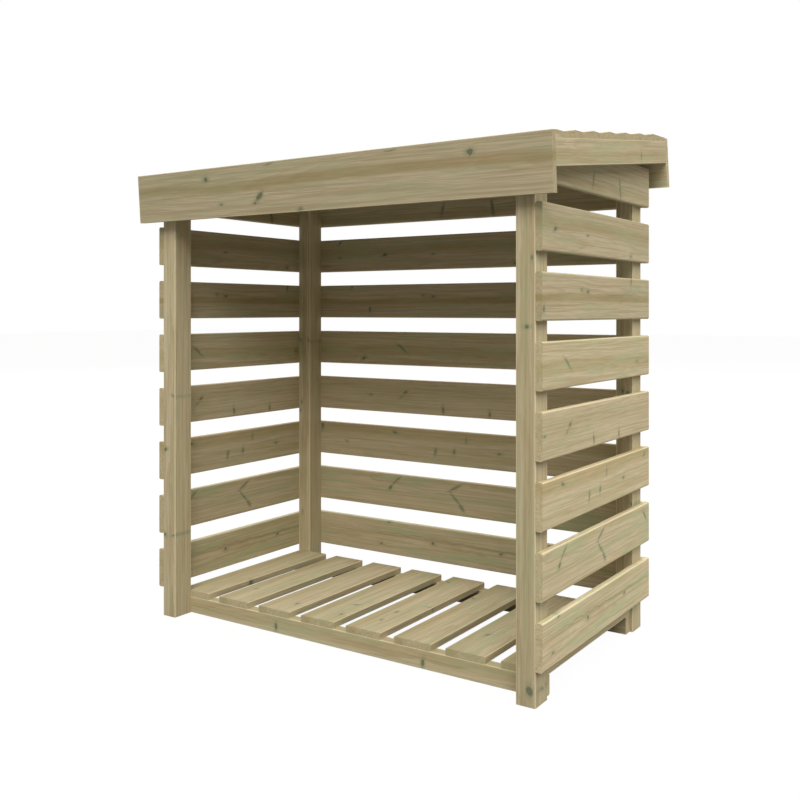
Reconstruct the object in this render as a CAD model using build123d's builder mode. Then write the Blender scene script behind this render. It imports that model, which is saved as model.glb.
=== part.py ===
from build123d import *
from math import ceil, cos, radians, sin, tan
import os

# Open-fronted log store of pressure-treated softwood, in millimetres.
# X runs along the open front, Y from the front to the back, and Z up.
# The origin lies on the ground under the middle of the whole store.

# Posts, at the four corners of the frame
frame_width = 1083
frame_depth = 615
eaves_height = 1151
post_width = 44
post_depth = 57

# Slats, on the outside of the posts at the two ends and the back
slat_width = 100
slat_thickness = 16
slat_gap = 42.2
first_slat_height = 74.3

# Floor, a panel of boards on two bearers that stand on the ground
floor_board_width = 100
floor_board_thickness = 16
least_floor_gap = 35
bearer_height = 43
bearer_thickness = 28
floor_end_clearance = 8

# Roof, rebated feather-edged boards that lap over three rafters and fall to the front
roof_pitch = 7.8
rafter_thickness = 38
rafter_depth = 56
front_overhang = 21
back_overhang = 29
roof_board_width = 120
roof_board_butt = 16.5
roof_board_thin_edge = 5.5
least_roof_lap = 20
fascia_depth = 124
fascia_thickness = 18
fascia_drop = 1.5
front_fascia_lean = 4

# Easing of the planed timber's long edges
slat_arris = 4
arris = 1.5
fine_arris = 1

# Roof length along the slope, and the share of each board that stays in view
wall_depth = frame_depth + slat_thickness
slope_length = frame_depth / cos(radians(roof_pitch))
rafter_length = front_overhang + slope_length + back_overhang
roof_board_count = ceil(rafter_length / (roof_board_width - least_roof_lap))
cover = rafter_length / roof_board_count
lap = roof_board_width - cover

# Thickness of a board where the next one's rebate starts to lap over it
lapped_edge = roof_board_butt - (roof_board_butt - roof_board_thin_edge) * cover / roof_board_width

# Each fascia stands a little under the boards' edge that it covers
front_fascia_top = roof_board_butt - fascia_drop
back_fascia_top = lapped_edge - fascia_drop

# The fascias' outermost corners set the middle of the whole store
slope_cos = cos(radians(roof_pitch))
slope_sin = sin(radians(roof_pitch))
lean_cos = cos(radians(front_fascia_lean))
lean_sin = sin(radians(front_fascia_lean))
roof_start = -front_overhang
roof_end = rafter_length - front_overhang
front_reach = roof_start * slope_cos - fascia_thickness * lean_cos - front_fascia_top * lean_sin
back_reach = (roof_end + fascia_thickness) * slope_cos + (fascia_depth - back_fascia_top) * slope_sin
front_face = -(front_reach + back_reach) / 2
back_face = front_face + frame_depth

# Roof sections are drawn up the slope and square to it, from the front posts' eaves line
roof_section = Plane(
    origin=(0, front_face, eaves_height),
    x_dir=(0, slope_cos, slope_sin),
    z_dir=(1, 0, 0),
)
rafter_tops = Plane(
    origin=(0, front_face, eaves_height),
    x_dir=(1, 0, 0),
    z_dir=(0, -slope_sin, slope_cos),
)
roof_width = frame_width + 2 * (slat_thickness + rafter_thickness)

# The front fascia leans less than square to the slope, so what meets it is trimmed to its back
eaves_section = Plane(
    origin=roof_section.from_local_coords((roof_start, 0)),
    x_dir=(0, lean_cos, lean_sin),
    z_dir=(1, 0, 0),
)
eaves_cut = Plane(origin=eaves_section.origin, z_dir=eaves_section.x_dir)

# Slat levels, as many as stand under the back of the roof
slat_pitch = slat_width + slat_gap
back_height = eaves_height + frame_depth * tan(radians(roof_pitch))
slat_rows = int((back_height - first_slat_height + slat_gap) // slat_pitch)

pieces = []


def keep(piece, label):
    """Name a finished piece and put it in the list of pieces to write."""
    piece.part.label = label
    pieces.append(piece.part)


def post(label, side, front):
    """Corner post, cut off to the slope of the roof."""
    x_middle = side * (frame_width - post_width) / 2
    y_middle = front + post_depth / 2
    with BuildPart() as made:
        with BuildSketch(Plane.XY):
            with Locations((x_middle, y_middle)):
                Rectangle(post_width, post_depth)
        extrude(amount=back_height + post_depth)
        fillet(made.edges().filter_by(Axis.Z), arris)
        split(bisect_by=rafter_tops, keep=Keep.BOTTOM)
    keep(made, label)


def side_slat(label, side, height):
    """End slat, from the front of the front post to the back slats' outer face."""
    x_middle = side * (frame_width + slat_thickness) / 2
    with BuildPart() as made:
        with BuildSketch(Plane.XZ.offset(-front_face)):
            with Locations((x_middle, height + slat_width / 2)):
                Rectangle(slat_thickness, slat_width)
        extrude(amount=-wall_depth)
        fillet(made.edges().filter_by(Axis.Y), slat_arris)
        split(bisect_by=rafter_tops, keep=Keep.BOTTOM)
    keep(made, label)


def back_slat(label, height):
    """Back slat, between the two end walls on the back posts' outer faces."""
    with BuildPart() as made:
        with BuildSketch(Plane.YZ):
            with Locations((back_face + slat_thickness / 2, height + slat_width / 2)):
                Rectangle(slat_thickness, slat_width)
        extrude(amount=frame_width / 2, both=True)
        fillet(made.edges().filter_by(Axis.X), slat_arris)
    keep(made, label)


# Frame and walls
for side, side_name in ((-1, "left"), (1, "right")):
    post(f"post_front_{side_name}", side, front_face)
    post(f"post_back_{side_name}", side, back_face - post_depth)
    for row in range(slat_rows):
        side_slat(f"side_slat_{side_name}_{row + 1}", side, first_slat_height + row * slat_pitch)

for row in range(slat_rows):
    back_slat(f"back_slat_{row + 1}", first_slat_height + row * slat_pitch)

# Floor bearers, against the inner faces of the front and of the back posts
floor_width = frame_width - 2 * floor_end_clearance
floor_front = front_face + post_depth
floor_back = back_face - post_depth


def floor_bearer(label, front):
    """Bearer on edge, flat on the ground."""
    with BuildPart() as made:
        with BuildSketch(Plane.YZ):
            with Locations((front + bearer_thickness / 2, bearer_height / 2)):
                Rectangle(bearer_thickness, bearer_height)
        extrude(amount=floor_width / 2, both=True)
        fillet(made.edges().filter_by(Axis.X), arris)
    keep(made, label)


floor_bearer("floor_bearer_front", floor_front)
floor_bearer("floor_bearer_back", floor_back - bearer_thickness)

# Floor boards, spread evenly across the bearers with open gaps
floor_pitch_limit = floor_board_width + least_floor_gap
floor_board_count = int((floor_width + least_floor_gap) // floor_pitch_limit)
floor_pitch = (floor_width - floor_board_width) / (floor_board_count - 1)

with BuildPart() as floor_boards:
    with BuildSketch(Plane.XZ.offset(-floor_front)):
        with Locations((0, bearer_height + floor_board_thickness / 2)):
            with GridLocations(floor_pitch, 0, floor_board_count, 1):
                Rectangle(floor_board_width, floor_board_thickness)
    extrude(amount=floor_front - floor_back)
    fillet(floor_boards.edges().filter_by(Axis.Y), arris)
keep(floor_boards, "floor_boards")


def rafter(label, x_middle):
    """Rafter on edge, from the front fascia's leaning back to the back fascia."""
    with BuildPart() as made:
        with BuildSketch(roof_section.offset(x_middle)):
            with Locations((roof_end, 0)):
                Rectangle(rafter_length + rafter_depth, rafter_depth, align=(Align.MAX, Align.MAX))
        extrude(amount=rafter_thickness / 2, both=True)
        fillet(made.edges().filter_by(Axis((0, 0, 0), roof_section.x_dir)), fine_arris)
        split(bisect_by=eaves_cut, keep=Keep.TOP)
    keep(made, label)


# Rafters, the outer two against the outside of the top end slats
outer_rafter = (roof_width - rafter_thickness) / 2
rafter("rafter_left", -outer_rafter)
rafter("rafter_middle", 0)
rafter("rafter_right", outer_rafter)


def fascia(label, section, start, top):
    """Fascia board on the rafters' ends, as long as the roof is wide."""
    with BuildPart() as made:
        with BuildSketch(section):
            with Locations((start, top)):
                Rectangle(fascia_thickness, fascia_depth, align=(Align.MIN, Align.MAX))
        extrude(amount=roof_width / 2, both=True)
        fillet(made.edges().filter_by(Axis.X), fine_arris)
    keep(made, label)


fascia("fascia_front", eaves_section, -fascia_thickness, front_fascia_top)
fascia("fascia_back", roof_section, roof_end, back_fascia_top)

# Eaves strip, an offcut of a board's thin edge that fills the first board's rebate
with BuildPart() as eaves_strip:
    with BuildSketch(roof_section):
        with BuildLine():
            Polyline(
                (roof_start, 0),
                (roof_start + lap, 0),
                (roof_start + lap, roof_board_thin_edge),
                (roof_start, lapped_edge),
                close=True,
            )
        make_face()
    extrude(amount=roof_width / 2, both=True)
    split(bisect_by=eaves_cut, keep=Keep.TOP)
keep(eaves_strip, "eaves_strip")


def roof_board(label, start, width, thin_edge):
    """Flat-backed tapered board, its butt rebated over the thin edge of the board below."""
    with BuildPart() as made:
        with BuildSketch(roof_section) as profile:
            with BuildLine():
                Polyline(
                    (start, lapped_edge),
                    (start + lap, roof_board_thin_edge),
                    (start + lap, 0),
                    (start + width, 0),
                    (start + width, thin_edge),
                    (start, roof_board_butt),
                    close=True,
                )
            make_face()
            fillet(profile.vertices().sort_by(Axis.Y)[-1], arris)
        extrude(amount=roof_width / 2, both=True)
        split(bisect_by=eaves_cut, keep=Keep.TOP)
    keep(made, label)


# Roof boards from the eaves up, the last one trimmed to fit against the back fascia
for row in range(roof_board_count - 1):
    roof_board(f"roof_board_{row + 1}", roof_start + row * cover, roof_board_width, roof_board_thin_edge)
roof_board(f"roof_board_{roof_board_count}", roof_end - cover, cover, lapped_edge)

os.makedirs("parts", exist_ok=True)
for piece in pieces:
    export_step(piece, f"parts/{piece.label}.step")
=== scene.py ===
# %% [markdown]
# # A log store of treated softwood
# The store is an open frame: four posts, slats on three sides, a slatted floor and a roof of
# lapped boards that falls to the open front. Every board already stands in the frame at its
# real size, so this lesson is about wood: how sawn and planed softwood looks on its faces,
# edges and ends, and how a procedural material can grow that look from the log outwards.

# %% Load the frame
import math
import random

import bpy
from mathutils import Matrix, Vector


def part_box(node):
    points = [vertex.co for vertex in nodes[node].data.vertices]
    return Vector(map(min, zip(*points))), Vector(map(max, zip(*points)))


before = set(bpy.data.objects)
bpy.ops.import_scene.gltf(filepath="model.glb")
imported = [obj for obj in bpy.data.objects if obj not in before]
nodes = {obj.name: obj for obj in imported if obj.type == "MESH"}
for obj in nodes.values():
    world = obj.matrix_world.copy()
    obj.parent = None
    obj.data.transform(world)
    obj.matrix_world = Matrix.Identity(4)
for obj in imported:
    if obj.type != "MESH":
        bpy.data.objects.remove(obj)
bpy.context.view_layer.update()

# %% [markdown]
# ## The viewpoint
# The picture was taken level, so upright edges stay upright, with the horizon above the middle
# of the frame. A level camera with its lens shifted down gives exactly that. The place of the
# camera is counted from the front faces of the posts, which are the plane nearest to it.

# %% Set the camera
posts_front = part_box("post_front_right")[0].y
camera_aside = 1.3889
camera_out = 1.7606
camera_height = 0.8053
camera_heading = math.radians(33.75)
picture_pixels = 800
focal_pixels = 956.79
horizon_above_middle = 88.94

camera_data = bpy.data.cameras.new("viewpoint")
camera_data.sensor_width = 36.0
camera_data.lens = camera_data.sensor_width * focal_pixels / picture_pixels
camera_data.shift_y = -horizon_above_middle / picture_pixels
camera = bpy.data.objects.new("viewpoint", camera_data)
camera.location = (camera_aside, posts_front - camera_out, camera_height)
camera.rotation_euler = (math.radians(90), 0, camera_heading)
bpy.context.scene.collection.objects.link(camera)
bpy.context.scene.camera = camera
print("lens", round(camera_data.lens, 2), "mm, shift", round(camera_data.shift_y, 4))

# %% [markdown]
# ## Short words for wiring
# The world, the floor and every finish are trees of small steps. A few short helpers keep each
# step on one line: one adds a node, one feeds a socket with either a number or another node's
# output, one does a sum, one blends two shaders and one shows the last of them.

# %% Define the wiring helpers


def add_node(tree, kind, **settings):
    """A new node of a kind, with its settings."""
    made = tree.nodes.new(kind)
    for name, value in settings.items():
        setattr(made, name, value)
    return made


def feed(tree, socket, value):
    """Link an output into a socket, or set the socket's own value."""
    if isinstance(value, bpy.types.NodeSocket):
        tree.links.new(value, socket)
    else:
        socket.default_value = value


def maths(tree, operation, *values):
    """One sum, of one to three values."""
    made = add_node(tree, "ShaderNodeMath", operation=operation)
    for socket, value in zip(made.inputs, values):
        feed(tree, socket, value)
    return made.outputs[0]


def blend(tree, share, under, over):
    """Blend two shaders, the second by a share."""
    made = add_node(tree, "ShaderNodeMixShader")
    for socket, value in zip(made.inputs, (share, under, over)):
        feed(tree, socket, value)
    return made.outputs[0]


def show(tree, shader, kind="ShaderNodeOutputMaterial"):
    """Send the finished shader to the tree's output."""
    tree.links.new(shader, add_node(tree, kind).inputs["Surface"])


print("wiring helpers ready")

# %% [markdown]
# ## The white tent
# Timber in a catalogue picture stands in a white tent, where light comes from all round. A
# pale, warm world gives that even part of the light. The world shows as white only to the
# camera, and to what mirrors or passes its rays, so the white ground doesn't flood the wood.

# %% Make the world
bpy.context.scene.view_settings.view_transform = "Standard"
tent_strength = 0.30
white = (1, 1, 1, 1)

world = bpy.data.worlds.new("white_tent")
bpy.context.scene.world = world
world.use_nodes = True
world_tree = world.node_tree
world_tree.nodes.clear()
tent_light = add_node(world_tree, "ShaderNodeBackground")
tent_light.inputs["Color"].default_value = (1.0, 0.92, 0.78, 1)
tent_light.inputs["Strength"].default_value = tent_strength
tent_shown = add_node(world_tree, "ShaderNodeBackground")
tent_shown.inputs["Color"].default_value = white
tent_shown.inputs["Strength"].default_value = 1.0
ray = add_node(world_tree, "ShaderNodeLightPath").outputs
mirrored = maths(world_tree, "MAXIMUM", ray["Is Glossy Ray"], ray["Is Transmission Ray"])
seen = maths(world_tree, "MAXIMUM", ray["Is Camera Ray"], mirrored)
tent = blend(world_tree, seen, tent_light.outputs[0], tent_shown.outputs[0])
show(world_tree, tent, "ShaderNodeOutputWorld")
print("world of strength", tent_strength)

# %% [markdown]
# ## The lamps
# More light comes from high up in front and on the right, so that tops are brightest and the
# space under the roof falls off to brown. The lamps are as large as a wall, because a large
# lamp makes soft shadows. The third one lights the back and the left end, which the picture
# doesn't show.

# %% Hang the lamps
store_middle = (0, 0, 0.6)
lamp_size = 6.8


def soft_lamp(name, place, watts):
    """A square area lamp at a place, turned to face the middle of the store."""
    data = bpy.data.lights.new(name, "AREA")
    data.size = lamp_size
    data.energy = watts
    lamp = bpy.data.objects.new(name, data)
    lamp.location = place
    lamp.rotation_euler = (Vector(store_middle) - Vector(place)).to_track_quat("-Z", "Y").to_euler()
    bpy.context.scene.collection.objects.link(lamp)


soft_lamp("lamp_front", (3.4, -6.8, 8.8), 1110)
soft_lamp("lamp_right", (7.8, 0.5, 7.8), 620)
soft_lamp("lamp_behind", (-6.2, 6.6, 5.6), 980)
print("three soft lamps,", lamp_size, "m wide")

# %% [markdown]
# ## The floor
# The store stands on a pale sheet. To the wood it is a matt grey that bounces a little light up
# under the boards, as a studio floor does. To the camera it is nearly as white as the tent, and
# it keeps the store's own soft shadow.

# %% Lay the floor
floor_reach = 30.0
sheet_bounce = 0.27
sheet_shown = 1.0
sheet_glow_share = 0.97

bpy.ops.mesh.primitive_plane_add(size=2 * floor_reach, location=(0, 0, 0))
floor_sheet = bpy.context.object
floor_sheet.name = "floor_sheet"
floor_finish = bpy.data.materials.new("pale_sheet")
floor_finish.use_nodes = True
sheet_tree = floor_finish.node_tree
sheet_tree.nodes.clear()
to_camera = add_node(sheet_tree, "ShaderNodeLightPath").outputs["Is Camera Ray"]
sheet_matt = add_node(sheet_tree, "ShaderNodeBsdfDiffuse")
sheet_grey = maths(sheet_tree, "MULTIPLY_ADD", to_camera, sheet_shown - sheet_bounce, sheet_bounce)
feed(sheet_tree, sheet_matt.inputs["Color"], sheet_grey)
sheet_glow = add_node(sheet_tree, "ShaderNodeEmission")
sheet_glow.inputs["Color"].default_value = white
sheet_glow.inputs["Strength"].default_value = 1.0
glow_share = maths(sheet_tree, "MULTIPLY", to_camera, sheet_glow_share)
show(sheet_tree, blend(sheet_tree, glow_share, sheet_matt.outputs[0], sheet_glow.outputs[0]))
floor_sheet.data.materials.append(floor_finish)
print("floor", 2 * floor_reach, "m square")

# %% [markdown]
# ## Short words for painting wood
# Wood needs a few steps of its own: a colour as a painter reads it, 0 to 255, turned into the
# linear light that nodes use, a soft step between two values, one colour laid over another, and
# noise drawn out along the grain. Nearly all that happens in wood is long and thin, so nearly
# all of its noise is made by the last of these.

# %% Define the painting helpers


def paint(red, green, blue):
    """A colour from 0 to 255 a channel, as linear light."""
    shares = [channel / 255 for channel in (red, green, blue)]
    linear = [s / 12.92 if s <= 0.04045 else ((s + 0.055) / 1.055) ** 2.4 for s in shares]
    return (*linear, 1.0)


def fade(tree, value, low, high):
    """A smooth step: 0 up to low, 1 from high on, or the other way round."""
    made = add_node(tree, "ShaderNodeMapRange", interpolation_type="SMOOTHSTEP")
    feed(tree, made.inputs["Value"], value)
    made.inputs["From Min"].default_value = min(low, high)
    made.inputs["From Max"].default_value = max(low, high)
    made.inputs["To Min"].default_value = 0.0 if low < high else 1.0
    made.inputs["To Max"].default_value = 1.0 if low < high else 0.0
    return made.outputs["Result"]


def tint(tree, share, under, over, way="MIX"):
    """Lay one colour over another by a share."""
    made = add_node(tree, "ShaderNodeMix", data_type="RGBA", blend_type=way)
    factor, colour_under, colour_over = made.inputs[0], made.inputs[6], made.inputs[7]
    feed(tree, factor, share)
    feed(tree, colour_under, under)
    feed(tree, colour_over, over)
    return made.outputs[2]


def streaks(tree, place, seed, along, across, detail=2.0):
    """Noise drawn out along the grain: streaks of a length and a width, in metres."""
    stretch = add_node(tree, "ShaderNodeVectorMath", operation="MULTIPLY")
    feed(tree, stretch.inputs[0], place)
    stretch.inputs[1].default_value = (1 / along, 1 / across, 1 / across)
    made = add_node(tree, "ShaderNodeTexNoise", noise_dimensions="4D")
    feed(tree, made.inputs["Vector"], stretch.outputs[0])
    feed(tree, made.inputs["W"], seed)
    made.inputs["Scale"].default_value = 1.0
    made.inputs["Detail"].default_value = detail
    return made.outputs["Fac"]


def swing(tree, noise, size):
    """Noise from 0 to 1 turned into a shift, by as much as half a size either way."""
    return maths(tree, "MULTIPLY_ADD", noise, size, -size / 2)


def split(tree, place):
    """The three distances of a place, named X, Y and Z."""
    made = add_node(tree, "ShaderNodeSeparateXYZ")
    tree.links.new(place, made.inputs[0])
    return made.outputs


def reach(tree, along, across):
    """How far off the middle a point is, from its two distances."""
    square = maths(tree, "MULTIPLY", across, across)
    return maths(tree, "SQRT", maths(tree, "MULTIPLY_ADD", along, along, square))


print("a painter's grey of 128 is", round(paint(128, 128, 128)[0], 3), "as light")

# %% [markdown]
# ## Groups
# A group is a tree that is made once and used many times, like a stamp. The knot and the wood
# are both groups, so that every board shares them and only their numbers differ.

# %% Define a new group


def group_with(name, inputs, outputs):
    """An empty node group with its sockets, and its two ends."""
    tree = bpy.data.node_groups.new(name, "ShaderNodeTree")
    kinds = {"vector": "NodeSocketVector", "colour": "NodeSocketColor", "number": "NodeSocketFloat"}
    for label, kind in inputs:
        tree.interface.new_socket(name=label, in_out="INPUT", socket_type=kinds[kind])
    for label, kind in outputs:
        tree.interface.new_socket(name=label, in_out="OUTPUT", socket_type=kinds[kind])
    return tree, tree.nodes.new("NodeGroupInput").outputs, tree.nodes.new("NodeGroupOutput").inputs


def numbers(*labels):
    """Number sockets with these labels."""
    return [(label, "number") for label in labels]


print("groups can have vector, colour and number sockets")

# %% [markdown]
# ## A knot
# A knot is a branch that the saw cut through. Cut square it is a small dark disc, and cut
# aslant it is a long smear, so one shape serves for both: an ellipse with its own turn. The
# branch runs through the board's thickness, so both faces show the same knot. A drawn ellipse
# would look printed, so noise frays its edge, and slower noise bends it.

# %% Find the place on a knot
knot_tree, knot_in, knot_out = group_with(
    "branch_knot",
    [("Place", "vector"), *numbers("Along", "Across", "Radius", "Stretch", "Turn", "Seed")],
    numbers("Core", "Heart", "Stain", "Flow"),
)
knot_bend = 0.012
knot_place, knot_seed, knot_radius = knot_in["Place"], knot_in["Seed"], knot_in["Radius"]
knot_distance = split(knot_tree, knot_place)
slow_noise = streaks(knot_tree, knot_place, knot_seed, along=0.030, across=0.040, detail=1.0)
knot_x = maths(knot_tree, "SUBTRACT", knot_distance["X"], knot_in["Along"])
knot_y = maths(knot_tree, "SUBTRACT", knot_distance["Y"], knot_in["Across"])
knot_y = maths(knot_tree, "ADD", knot_y, swing(knot_tree, slow_noise, knot_bend))

turn_cos = maths(knot_tree, "COSINE", knot_in["Turn"])
turn_sin = maths(knot_tree, "SINE", knot_in["Turn"])
branch_x = maths(knot_tree, "MULTIPLY_ADD", knot_x, turn_cos, maths(knot_tree, "MULTIPLY", knot_y, turn_sin))
branch_y = maths(knot_tree, "MULTIPLY", knot_y, turn_cos)
branch_y = maths(knot_tree, "SUBTRACT", branch_y, maths(knot_tree, "MULTIPLY", knot_x, turn_sin))
knot_length = maths(knot_tree, "MULTIPLY", knot_radius, knot_in["Stretch"])
print("a knot bends by up to", knot_bend / 2, "m")

# %% [markdown]
# ## The parts of a knot
# In the middle is the heart of the branch, a little paler, and round it the dark core. The
# treatment collects round both as a grey-green stain drawn out along the grain. The rings of
# the board flow round the knot like water round a stone.

# %% Shape the knot
stain_along = 0.010
stain_across = 0.004
flow_along = 3.0
flow_across = 2.0


def knot_oval(length, width):
    """How far out a point is on an oval of the knot, 1 at its frayed edge."""
    out_along = maths(knot_tree, "DIVIDE", branch_x, length)
    out_across = maths(knot_tree, "DIVIDE", branch_y, width)
    return maths(knot_tree, "MULTIPLY", reach(knot_tree, out_along, out_across), knot_fray)


fast_noise = streaks(knot_tree, knot_place, knot_seed, along=0.010, across=0.006)
knot_fray = maths(knot_tree, "MULTIPLY_ADD", fast_noise, 1.1, 0.45)
disc = knot_oval(knot_length, knot_radius)
halo = knot_oval(
    maths(knot_tree, "ADD", knot_length, stain_along),
    maths(knot_tree, "ADD", knot_radius, stain_across),
)
rings_aside = reach(
    knot_tree,
    maths(knot_tree, "DIVIDE", knot_x, flow_along),
    maths(knot_tree, "DIVIDE", knot_y, flow_across),
)
rings_aside = maths(knot_tree, "MULTIPLY", maths(knot_tree, "DIVIDE", rings_aside, knot_radius), -1.0)
rings_aside = maths(knot_tree, "EXPONENT", rings_aside)
knot_parts = {
    "Core": fade(knot_tree, disc, 1.45, 0.60),
    "Heart": fade(knot_tree, disc, 0.75, 0.25),
    "Stain": fade(knot_tree, halo, 1.45, 0.20),
    "Flow": maths(knot_tree, "MULTIPLY", rings_aside, knot_radius),
}
for label, value in knot_parts.items():
    knot_tree.links.new(value, knot_out[label])
print("knot group with", len(knot_tree.nodes), "nodes")

# %% [markdown]
# ## The place in the log
# A log grows a ring a year round its middle, the pith. A board is a slice of that log, so the
# honest way to draw it is to find, for every point of the board, how far it lay from the pith.
# Rings then come out as arches on the wide faces, straight lines on the edges and arcs on the
# ends, and they meet at the corners by themselves. Painting each face by itself could not do
# that. No log is a true cylinder, so the pith wanders, and the rings ripple.

# %% Measure from the pith
wood_tree, wood_in, wood_out = group_with(
    "treated_softwood",
    [
        ("Place", "vector"),
        *numbers("Seed", "Pith across", "Pith depth", "Lean", "Ring"),
        *numbers("Band across", "Band width", "Band", "Green", "Shade"),
        *numbers("Core", "Heart", "Stain", "Flow", "End", "Arris"),
    ],
    [("Colour", "colour"), *numbers("Roughness", "Height")],
)
pith_wander = 0.05
ring_ripple = 0.005


def wood_maths(operation, *values):
    """One sum in the wood group."""
    return maths(wood_tree, operation, *values)


def wood_streaks(shift, along, across, detail):
    """Streaks of the wood, shifted so that no two kinds of them lie over each other."""
    seed = wood_maths("ADD", wood_in["Seed"], shift)
    return streaks(wood_tree, wood_in["Place"], seed, along, across, detail)


wood_place = split(wood_tree, wood_in["Place"])
wander = swing(wood_tree, wood_streaks(0.0, along=0.45, across=0.20, detail=1.0), pith_wander)
ripple = swing(wood_tree, wood_streaks(3.1, along=0.09, across=0.025, detail=2.0), ring_ripple)
pith_y = wood_maths("ADD", wood_maths("SUBTRACT", wood_place["Y"], wood_in["Pith across"]), wander)
leaning = wood_maths("MULTIPLY", wood_place["X"], wood_in["Lean"])
pith_z = wood_maths("ADD", wood_maths("SUBTRACT", wood_place["Z"], wood_in["Pith depth"]), leaning)
pith_reach = wood_maths("ADD", reach(wood_tree, pith_y, pith_z), ripple)
pith_reach = wood_maths("ADD", pith_reach, wood_in["Flow"])
print("the pith wanders by", pith_wander / 2, "m and the rings ripple by", ring_ripple / 2, "m")

# %% [markdown]
# ## The years
# The distance from the pith, counted in rings, is the year in which that wood grew. Its whole
# part numbers the ring, and the rest is the season: pale, soft wood in spring, and a dark line
# that ends sharply when summer does. Wet years are wide and dry ones narrow, and some lines
# are faint, so one noise shifts the years and a roll of the dice sets how dark each line is.

# %% Count the years
year_unevenness = 1.6
faintest_year = 0.25
year = wood_maths("DIVIDE", pith_reach, wood_in["Ring"])
uneven = add_node(wood_tree, "ShaderNodeTexNoise", noise_dimensions="1D")
feed(wood_tree, uneven.inputs["W"], wood_maths("MULTIPLY_ADD", year, 0.37, wood_in["Seed"]))
uneven.inputs["Scale"].default_value = 1.0
uneven.inputs["Detail"].default_value = 1.0
year = wood_maths("MULTIPLY_ADD", uneven.outputs["Fac"], year_unevenness, year)
season = wood_maths("FRACT", year)
summer = wood_maths("MULTIPLY", fade(wood_tree, season, 0.20, 0.88), fade(wood_tree, season, 1.0, 0.90))
year_dice = add_node(wood_tree, "ShaderNodeTexWhiteNoise", noise_dimensions="1D")
feed(wood_tree, year_dice.inputs["W"], wood_maths("FLOOR", year))
year_strength = wood_maths("MULTIPLY_ADD", year_dice.outputs["Value"], 1 - faintest_year, faintest_year)
summer = wood_maths("MULTIPLY", summer, year_strength)
print("the faintest line is", faintest_year, "as dark as the darkest")

# %% [markdown]
# ## Slower changes
# Over the rings lie fine fibres, darker strands, a pink blush, the green cast of the treatment
# and, on some boards, a brown band of heartwood with ragged edges. Each is one kind of streak
# with its own length and width in metres.

# %% Draw the streaks and the heartwood
fibre = wood_streaks(5.7, along=0.05, across=0.0020, detail=4.0)
strand = wood_streaks(11.3, along=0.26, across=0.0045, detail=4.0)
cast = wood_streaks(31.7, along=0.20, across=0.020, detail=4.0)
blush = wood_streaks(57.1, along=0.26, across=0.010, detail=3.0)
band_raggedness = 1.4
band_miss = wood_maths("SUBTRACT", wood_place["Y"], wood_in["Band across"])
band_miss = wood_maths("ADD", band_miss, wood_maths("MULTIPLY", wander, 0.6))
band_miss = wood_maths("DIVIDE", wood_maths("ABSOLUTE", band_miss), wood_in["Band width"])
band_miss = wood_maths("ADD", band_miss, swing(wood_tree, strand, band_raggedness))
band = wood_maths("MULTIPLY", fade(wood_tree, band_miss, 1.15, 0.35), wood_in["Band"])
print("four kinds of streak and a band of heartwood")

# %% [markdown]
# ## The colours
# Each change is laid over what the wood has so far, as a stain is, from the rings up to the
# knots, the sawn ends and the pale painted highlight on the arrises. The last step is the board's
# shade: its own tone, because no two boards of a pack are equally dark, and on some boards
# painted light and shade as well.

# %% Lay the colours
spring_wood = paint(196, 182, 150)
summer_wood = paint(164, 145, 106)
heart_band = paint(154, 137, 88)
dark_strand = paint(160, 143, 103)
green_cast = paint(168, 172, 132)
pink_blush = paint(192, 165, 131)
knot_green = paint(118, 136, 106)
knot_dark = paint(70, 80, 56)
knot_heart = paint(122, 124, 92)
# The pale colour of the painted highlight on the arrises.
arris_painted_highlight = paint(226, 211, 170)


def lay(under, share, strength, over):
    """Lay a colour over what the wood has so far."""
    return tint(wood_tree, wood_maths("MULTIPLY", share, strength), under, over)


def darken(under, value):
    """Multiply a colour by one number."""
    made = add_node(wood_tree, "ShaderNodeCombineColor")
    for channel in made.inputs:
        feed(wood_tree, channel, value)
    return tint(wood_tree, 1.0, under, made.outputs[0], "MULTIPLY")


colour = lay(spring_wood, summer, 0.50, summer_wood)
colour = lay(colour, fade(wood_tree, strand, 0.44, 0.62), 0.55, dark_strand)
colour = lay(colour, band, 0.75, heart_band)
colour = lay(colour, fade(wood_tree, blush, 0.50, 0.72), 0.40, pink_blush)
colour = lay(colour, fade(wood_tree, cast, 0.42, 0.68), wood_in["Green"], green_cast)
colour = darken(colour, wood_maths("MULTIPLY_ADD", fibre, 0.50, 0.75))
colour = lay(colour, wood_in["Stain"], 0.55, knot_green)
colour = lay(colour, wood_in["Core"], 0.80, knot_dark)
colour = lay(colour, wood_in["Heart"], 0.75, knot_heart)
colour = lay(colour, wood_in["End"], 0.12, heart_band)
# A painted highlight: every arris is laid over with a pale colour.
colour = lay(colour, wood_in["Arris"], 0.70, arris_painted_highlight)
# The board's tone, and for some boards painted light and shade.
colour = darken(colour, wood_in["Shade"])
wood_tree.links.new(colour, wood_out["Colour"])
print("ten colours of wood")

# %% [markdown]
# ## The touch of the surface
# Summer wood and knots are dense, so they are a little smoother and stand a little proud once
# the planed face has weathered. Sawn ends are the roughest.

# %% Set the roughness and the relief
roughness = wood_maths("MULTIPLY_ADD", summer, -0.08, 0.74)
roughness = wood_maths("MULTIPLY_ADD", fibre, 0.14, roughness)
roughness = wood_maths("MULTIPLY_ADD", wood_in["Core"], -0.12, roughness)
roughness = wood_maths("MULTIPLY_ADD", wood_in["End"], 0.10, roughness)
height = wood_maths("MULTIPLY_ADD", summer, 0.35, wood_maths("MULTIPLY", fibre, 0.8))
height = wood_maths("MULTIPLY_ADD", wood_in["Core"], 0.5, height)
wood_tree.links.new(roughness, wood_out["Roughness"])
wood_tree.links.new(height, wood_out["Height"])
print("wood group with", len(wood_tree.nodes), "nodes")
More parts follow.
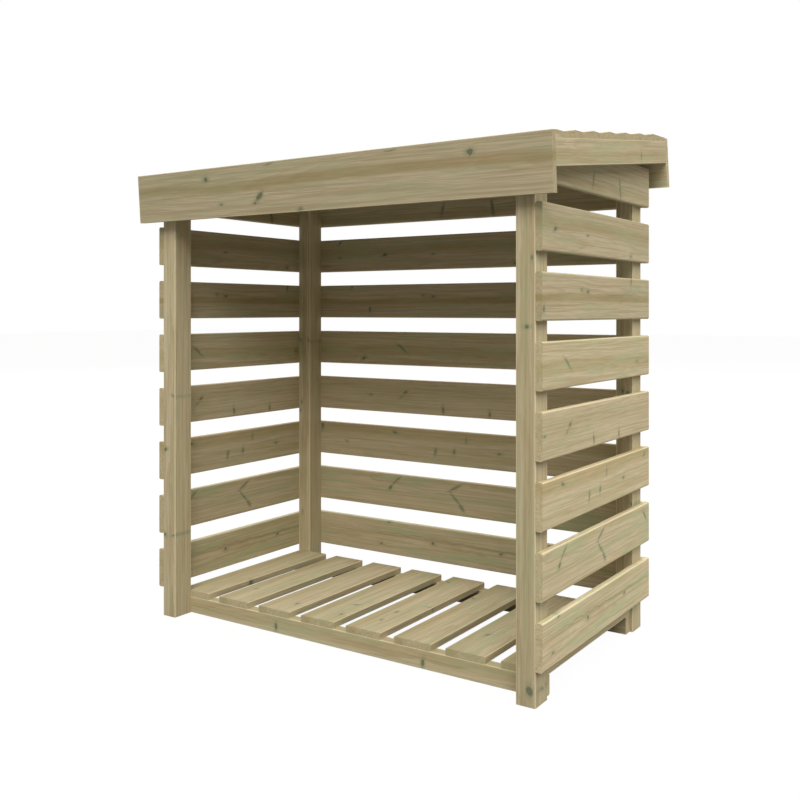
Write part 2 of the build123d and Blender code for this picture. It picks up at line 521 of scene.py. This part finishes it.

# %% [markdown]
# ## Which board has which knots
# Boards from one pack differ, and some of them stand out in the picture: the front fascia has
# knots like eyes, and the second row of slats has knots like arrowheads. The three slats of a
# row show the same marks, as if one log had been sawn for all of them, so their marks are kept
# by row. Each knot is listed in millimetres and degrees from the middle of its piece:
# along, across, radius, stretch and turn, and then its strength. For the floor, that is the
# middle of the whole panel.

# %% List the knots that can be recognised
knots_seen = {
    "fascia_front": [
        (-348, 35, 5.0, 1, 0, 0.9), (-172, -20, 5.6, 1.8, 42, 0.9), (-186, -33, 3.2, 1.2, 0, 0.7),
        (-298, -31, 2.4, 1.6, 0, 0.7), (-47, -58, 5, 1.5, 0, 0.5), (-140, 56, 2.5, 5, 10, 0.3),
        (210, 56, 2.5, 7, 5, 0.3), (411, 33, 6.2, 1, 0, 0.9),
    ],
    "post_front_right": [(194, 2, 3.8, 1.2, 90, 0.9), (335, 15, 3, 1.6, 0, 0.6), (-546, 10, 8, 1.1, 0, 0.8)],
    "floor_bearer_front": [(-199, -5, 3.6, 1.8, 90, 0.9), (236, -6, 4.2, 1.8, 85, 0.9)],
    "rafter_right": [(156, -12, 2.5, 3, 80, 0.7)],
    "slat_row_1": [
        (-83, 3, 3.4, 1.4, 0, 0.8), (141, 3, 2.8, 1.8, 10, 0.8), (-237, 46, 2, 1.5, 0, 0.8),
        (-266, -20, 2.8, 1.8, 0, 0.5), (-6, 12, 1.8, 200, -1.1, 0.3),
    ],
    "slat_row_2": [
        (-212, 30, 2.6, 10, 41, 0.45), (-233, 11, 3.4, 1.6, 40, 0.8), (-6, 30, 2.6, 9, 30, 0.55),
        (-6, -3, 2.6, 10, -47, 0.5), (14, -26, 5, 2.2, -50, 0.5), (283, 23, 3, 5, -48, 0.6),
    ],
    "slat_row_3": [
        (-216, 34, 3, 2, -20, 0.8), (-74, -13, 4, 2, 80, 0.5), (-11, -10, 4, 2, 80, 0.5),
        (135, -3, 3, 1.8, 0, 0.7), (29, 26, 2.6, 4, 85, 0.35), (280, 35, 3, 2, 40, 0.7),
        (-396, -6, 2, 1, 0, 0.8), (-491, 36, 3.4, 2, 90, 0.8),
    ],
    "slat_row_4": [
        (-179, 11, 3, 2, 30, 0.8), (-194, -2, 1.8, 1.3, 30, 0.8), (-305, 2, 2.4, 1, 0, 0.8),
        (-48, -32, 3.2, 2.8, 96, 0.7), (105, -36, 3, 2.4, 90, 0.7),
    ],
    "slat_row_5": [(-331, -32, 4, 1.3, 20, 0.9), (-193, 2, 3.4, 6, -34, 0.5), (228, -12, 2.4, 2, 0, 0.5)],
    "slat_row_6": [
        (-309, -26, 3.2, 1.8, 85, 0.9), (-82, 12, 2.8, 1.8, 0, 0.8), (188, 42, 2.6, 3, 75, 0.7),
        (-377, 44, 2.4, 1.5, 60, 0.8), (-116, 16, 2.4, 1.4, 0, 0.5), (122, 8, 1.8, 70, 0, 0.3),
    ],
    "slat_row_7": [
        (-423, 39, 2.4, 2, 40, 0.8), (-425, -6, 2.2, 1, 0, 0.9), (-254, -2, 3.4, 2, 15, 0.9),
        (-83, -5, 2.6, 1.8, 0, 0.7), (185, -39, 3, 1.6, 0, 0.7),
    ],
    "slat_row_8": [(-50, -21, 4.5, 4, 75, 0.45), (114, -26, 5, 4.5, 100, 0.5)],
    "floor_boards": [
        (-143, -360, 2.2, 1, 0, 0.9), (-184, -185, 3, 1.4, 0, 0.9), (-190, -38, 3, 1.4, 0, 0.9),
        (-108, -54, 2.6, 4, 60, 0.6), (-100, 62, 3, 1.4, 0, 0.9), (-23, 107, 2.6, 5, 70, 0.6),
        (-170, 68, 2.2, 1, 0, 0.9), (-122, 333, 3, 2, 20, 0.9), (103, 167, 3, 1, 0, 0.9),
    ],
}


def wood_of(name):
    """The wood that a piece was cut from: its own, or its row's for a slat."""
    return f"slat_row_{name[-1]}" if "slat" in name else name


print(sum(len(marks) for marks in knots_seen.values()), "knots listed by hand")

# %% [markdown]
# ## Which board has which colour
# A few boards have a heartwood band in view, given by its place across the board and its half
# width in millimetres and by its strength. Some are greener than the rest. Some are darker or
# paler, partly in their own tone and partly by painted light and shade. All that isn't listed
# here is left to chance.

# %% List the boards that stand out
band_seen = {"fascia_front": (14, 15, 0.9), "slat_row_6": (0, 10, 1.0), "slat_row_1": (12, 3, 0.5)}
green_seen = {
    "fascia_front": 0.45, "post_front_right": 0.40,
    "slat_row_1": 0.85, "slat_row_2": 0.90, "slat_row_5": 0.70,
}
roof_board_names = [name for name in nodes if name.startswith("roof_board")]
# Beside the boards' own tones, some shades here are painted light and shade: the three lowest right slats,
# the floor and its front bearer are paler for painted bounce light from the ground, and the top three slat
# rows and the roof boards are darker for painted shade under the roof.
tone_and_painted_light_seen = {
    "fascia_front": 0.82, "rafter_right": 0.89, "floor_boards": 1.03, "floor_bearer_front": 1.07,
    "post_front_right": 0.94, "post_front_left": 1.00, "post_back_left": 1.00,
    "slat_row_1": 0.98, "slat_row_2": 0.97, "slat_row_3": 0.98,
    "slat_row_6": 0.88, "slat_row_7": 0.88, "slat_row_8": 0.90,
    "side_slat_right_1": 1.14, "side_slat_right_2": 1.08, "side_slat_right_3": 1.10,
    **dict.fromkeys(roof_board_names, 0.85),
}
print(len(tone_and_painted_light_seen), "shades set by hand")

# %% [markdown]
# ## A board's own axes
# The wood group works in the axes of one board: along its length, across its face and through
# its thickness, all from its middle. Posts stand, slats lie two ways, and the roof's pieces
# follow its slope, so each kind of piece has its own turn. The slope is measured from the
# posts' tops. The front fascia leans less than the slope does.

# %% Turn to the axes of each kind of piece
fascia_lean = math.radians(4)
front_post_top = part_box("post_front_left")[1]
back_post_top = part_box("post_back_left")[1]
roof_slope = math.atan2(back_post_top.z - front_post_top.z, back_post_top.y - front_post_top.y)


def axes(along, across):
    """The turn that takes a board's own axes to the store's."""
    along, across = Vector(along), Vector(across)
    return Matrix((along, across, along.cross(across))).transposed()


def up(angle):
    """The direction up a slope, from the front to the back."""
    return 0, math.cos(angle), math.sin(angle)


def off(angle):
    """The direction square to a slope, away from the ground."""
    return 0, -math.sin(angle), math.cos(angle)


x_way, y_way, z_way = (1, 0, 0), (0, 1, 0), (0, 0, 1)
axes_of = {
    "post": axes(z_way, x_way),
    "side_slat": axes(y_way, z_way),
    "back_slat": axes(x_way, z_way),
    "floor_bearer": axes(x_way, z_way),
    "floor_boards": axes(y_way, x_way),
    "rafter": axes(up(roof_slope), off(roof_slope)),
    "fascia_front": axes(x_way, off(fascia_lean)),
    "fascia_back": axes(x_way, off(roof_slope)),
    "eaves_strip": axes(x_way, up(roof_slope)),
    "roof_board": axes(x_way, up(roof_slope)),
}


def turn_of(name):
    """The turn of a piece, by the kind that its name starts with."""
    return next(turn for kind, turn in axes_of.items() if name.startswith(kind))


def middle_and_half(name):
    """The piece's middle, and half its length, width and thickness in its own axes."""
    turn = turn_of(name)
    corners = [turn.transposed() @ vertex.co for vertex in nodes[name].data.vertices]
    low = [min(corner[i] for corner in corners) for i in range(3)]
    high = [max(corner[i] for corner in corners) for i in range(3)]
    middle = turn @ Vector([(a + b) / 2 for a, b in zip(low, high)])
    return middle, Vector([(b - a) / 2 for a, b in zip(low, high)])


fascia_half = middle_and_half("fascia_front")[1]
print("slope", round(math.degrees(roof_slope), 2), "degrees, fascia", round(2 * fascia_half.x, 3), "m long")

# %% [markdown]
# ## Knots on a board
# Each knot is one copy of the knot group. Where two of them meet, the stronger one shows, but
# both push the rings aside. A board with no listed knots gets a few by chance, some of them cut
# aslant, and the longer the board, the more of them.

# %% Put knots on a board
millimetre = 0.001
half_length_per_knot = 0.13
long_stretch = 5.0


def knots_by_chance(dice, half, count):
    """Small knots anywhere on a board, some of them cut aslant."""
    knots = []
    for _ in range(count):
        radius = dice.choice((1.8, 2.4, 3.0, 4.0))
        stretch = dice.choice((1.0, 1.0, 1.4, 2.0, long_stretch if radius < 3 else 1.0))
        along, across = dice.uniform(-0.95, 0.95) * half.x, dice.uniform(-0.85, 0.85) * half.y
        strength = 0.5 if stretch == long_stretch else 0.9
        turn = dice.uniform(-80, 80)
        knots.append((along / millimetre, across / millimetre, radius, stretch, turn, strength))
    return knots


def knots_of(name, dice, half):
    """The knots of a piece: listed, by chance, or both on the floor."""
    listed = knots_seen.get(wood_of(name), [])
    if name == "floor_boards":
        count = 6
    else:
        count = 0 if listed else max(1, round(half.x / half_length_per_knot))
    return listed + knots_by_chance(dice, half, count)


def add_knots(tree, place, knots, seed):
    """The knots' shares at a place: the strongest of each, and all of their flow."""
    shares = {"Core": 0.0, "Heart": 0.0, "Stain": 0.0, "Flow": 0.0}
    for number, (along, across, radius, stretch, turn, strength) in enumerate(knots):
        knot = add_node(tree, "ShaderNodeGroup", node_tree=knot_tree)
        feed(tree, knot.inputs["Place"], place)
        knot.inputs["Along"].default_value = along * millimetre
        knot.inputs["Across"].default_value = across * millimetre
        knot.inputs["Radius"].default_value = radius * millimetre
        knot.inputs["Stretch"].default_value = stretch
        knot.inputs["Turn"].default_value = math.radians(turn)
        knot.inputs["Seed"].default_value = seed + number * 3.3
        for label in ("Core", "Heart", "Stain"):
            share = maths(tree, "MULTIPLY", knot.outputs[label], strength)
            shares[label] = maths(tree, "MAXIMUM", share, shares[label])
        shares["Flow"] = maths(tree, "ADD", knot.outputs["Flow"], shares["Flow"])
    return shares


print("one knot by chance for each", 2 * half_length_per_knot, "m of board")

# %% [markdown]
# ## Eight boards in one floor
# The floor is one piece of eight boards. They are told apart by their place across it: each
# point is counted from the middle of its own board, and each board's grain starts further
# along, so that no two of them look alike.

# %% Tell the floor boards apart
floor_board_count = 8
floor_board_width = 0.100
grain_step = 1.7


def own_floor_board(tree, place, half):
    """The place on one floor board of the panel, moved along so that each board differs."""
    pitch = (2 * half.y - floor_board_width) / (floor_board_count - 1)
    half_count = (floor_board_count - 1) / 2
    distance = split(tree, place)
    count = maths(tree, "ROUND", maths(tree, "MULTIPLY_ADD", distance["Y"], 1 / pitch, half_count))
    board_middle = maths(tree, "MULTIPLY", maths(tree, "SUBTRACT", count, half_count), pitch)
    joined = add_node(tree, "ShaderNodeCombineXYZ")
    feed(tree, joined.inputs["X"], maths(tree, "MULTIPLY_ADD", count, grain_step, distance["X"]))
    feed(tree, joined.inputs["Y"], maths(tree, "SUBTRACT", distance["Y"], board_middle))
    feed(tree, joined.inputs["Z"], distance["Z"])
    return joined.outputs[0]


print(floor_board_count, "floor boards told apart")

# %% [markdown]
# ## Ends and arrises
# A sawn end takes up more of the treatment than a face, and each arris gets a pale painted
# highlight. An end is found by which way the surface faces. An arris is where a point lies close
# to a face and to an edge of its board at once, so both distances are measured and the larger
# one counts.

# %% Find the ends and the arrises
arris_outer = 0.0028
arris_inner = 0.0008


def end_share(tree, coordinates, turn):
    """1 on the sawn ends of a board and 0 elsewhere."""
    facing = add_node(tree, "ShaderNodeVectorMath", operation="DOT_PRODUCT")
    tree.links.new(coordinates.outputs["Normal"], facing.inputs[0])
    facing.inputs[1].default_value = turn @ Vector(x_way)
    return fade(tree, maths(tree, "ABSOLUTE", facing.outputs["Value"]), 0.75, 0.95)


# The mask of the painted highlight on the arrises.
def arris_share(tree, place, half_width, half_thickness):
    """1 on the long arrises of a board and 0 elsewhere."""
    distance = split(tree, place)
    face_gap = maths(tree, "SUBTRACT", half_width, maths(tree, "ABSOLUTE", distance["Y"]))
    edge_gap = maths(tree, "SUBTRACT", half_thickness, maths(tree, "ABSOLUTE", distance["Z"]))
    return fade(tree, maths(tree, "MAXIMUM", face_gap, edge_gap), arris_outer, arris_inner)


print("an arris is pale up to", arris_outer, "m from its corner")

# %% [markdown]
# ## One slice of one log
# Where the saw met the log decides what a board looks like, so chance draws that for each
# wood: how far off the pith lies, how it leans, how wide the years are, and whether there is a
# band of heartwood. The lists above overrule chance where the picture shows the board. The
# seed fixes every draw, so the store looks the same each time.

# %% Draw the slice of a board
narrowest_year = 0.0022
widest_year = 0.0038


def slice_of(name, dice, half_width):
    """The wood group's own numbers for a piece."""
    source = wood_of(name)
    chance_across = dice.uniform(-0.8, 0.8) * half_width / millimetre
    band_by_chance = chance_across, dice.uniform(8, 20), dice.uniform(0.1, 0.7)
    band_across, band_half_width, band_strength = band_seen.get(source, band_by_chance)
    return {
        "Band across": band_across * millimetre,
        "Band width": band_half_width * millimetre,
        "Band": band_strength,
        "Pith across": dice.uniform(-0.9, 0.9) * half_width,
        "Pith depth": -dice.uniform(0.035, 0.11),
        "Lean": dice.uniform(-0.022, 0.022),
        "Ring": dice.uniform(narrowest_year, widest_year),
        "Shade": tone_and_painted_light_seen.get(name, tone_and_painted_light_seen.get(source, dice.uniform(0.96, 1.04))),
        "Green": green_seen.get(source, dice.uniform(0.20, 0.60)),
    }


print("years of", narrowest_year, "to", widest_year, "m")

# %% [markdown]
# ## One finish for each board
# The finish joins the steps: a Mapping node turns the store's axes into the board's own, the
# knots are found, the wood group paints, and a matt shader with a slight relief shows it.

# %% Define the finish of a board
seed_step = 7.31


def board_finish(name, seed):
    """The wood material of one piece, with its knots."""
    dice = random.Random(seed)
    turn = turn_of(name)
    middle, half = middle_and_half(name)
    material = bpy.data.materials.new(f"timber_{name}")
    material.use_nodes = True
    tree = material.node_tree
    tree.nodes.clear()
    coordinates = add_node(tree, "ShaderNodeTexCoord")
    board = add_node(tree, "ShaderNodeMapping", vector_type="TEXTURE")
    board.inputs["Location"].default_value = middle
    board.inputs["Rotation"].default_value = turn.to_euler()
    tree.links.new(coordinates.outputs["Object"], board.inputs["Vector"])
    place = board.outputs["Vector"]
    half_width = half.y
    given = add_knots(tree, place, knots_of(name, dice, half), seed)
    if name == "floor_boards":
        place = own_floor_board(tree, place, half)
        half_width = floor_board_width / 2
    given |= {
        "Place": place,
        "Seed": seed * seed_step,
        "End": end_share(tree, coordinates, turn),
        "Arris": arris_share(tree, place, half_width, half.z),
    }
    given |= slice_of(name, dice, half_width)
    wood = add_node(tree, "ShaderNodeGroup", node_tree=wood_tree)
    for label, value in given.items():
        feed(tree, wood.inputs[label], value)

    shader = add_node(tree, "ShaderNodeBsdfPrincipled")
    shader.inputs["Specular IOR Level"].default_value = 0.3
    tree.links.new(wood.outputs["Colour"], shader.inputs["Base Color"])
    tree.links.new(wood.outputs["Roughness"], shader.inputs["Roughness"])
    relief = add_node(tree, "ShaderNodeBump")
    relief.inputs["Strength"].default_value = 0.35
    relief.inputs["Distance"].default_value = 0.0006
    tree.links.new(wood.outputs["Height"], relief.inputs["Height"])
    tree.links.new(relief.outputs["Normal"], shader.inputs["Normal"])
    show(tree, shader.outputs[0])
    return material


print("the finish of a board is ready")

# %% [markdown]
# ## Dress the store
# Every piece gets its own finish. The seed comes from the wood and not from the piece, so the
# three slats of a row share one.

# %% Dress every piece
woods = sorted({wood_of(name) for name in nodes})
for name in nodes:
    nodes[name].data.materials.clear()
    nodes[name].data.materials.append(board_finish(name, woods.index(wood_of(name)) + 1))
print(len(nodes), "finishes from", len(woods), "woods")
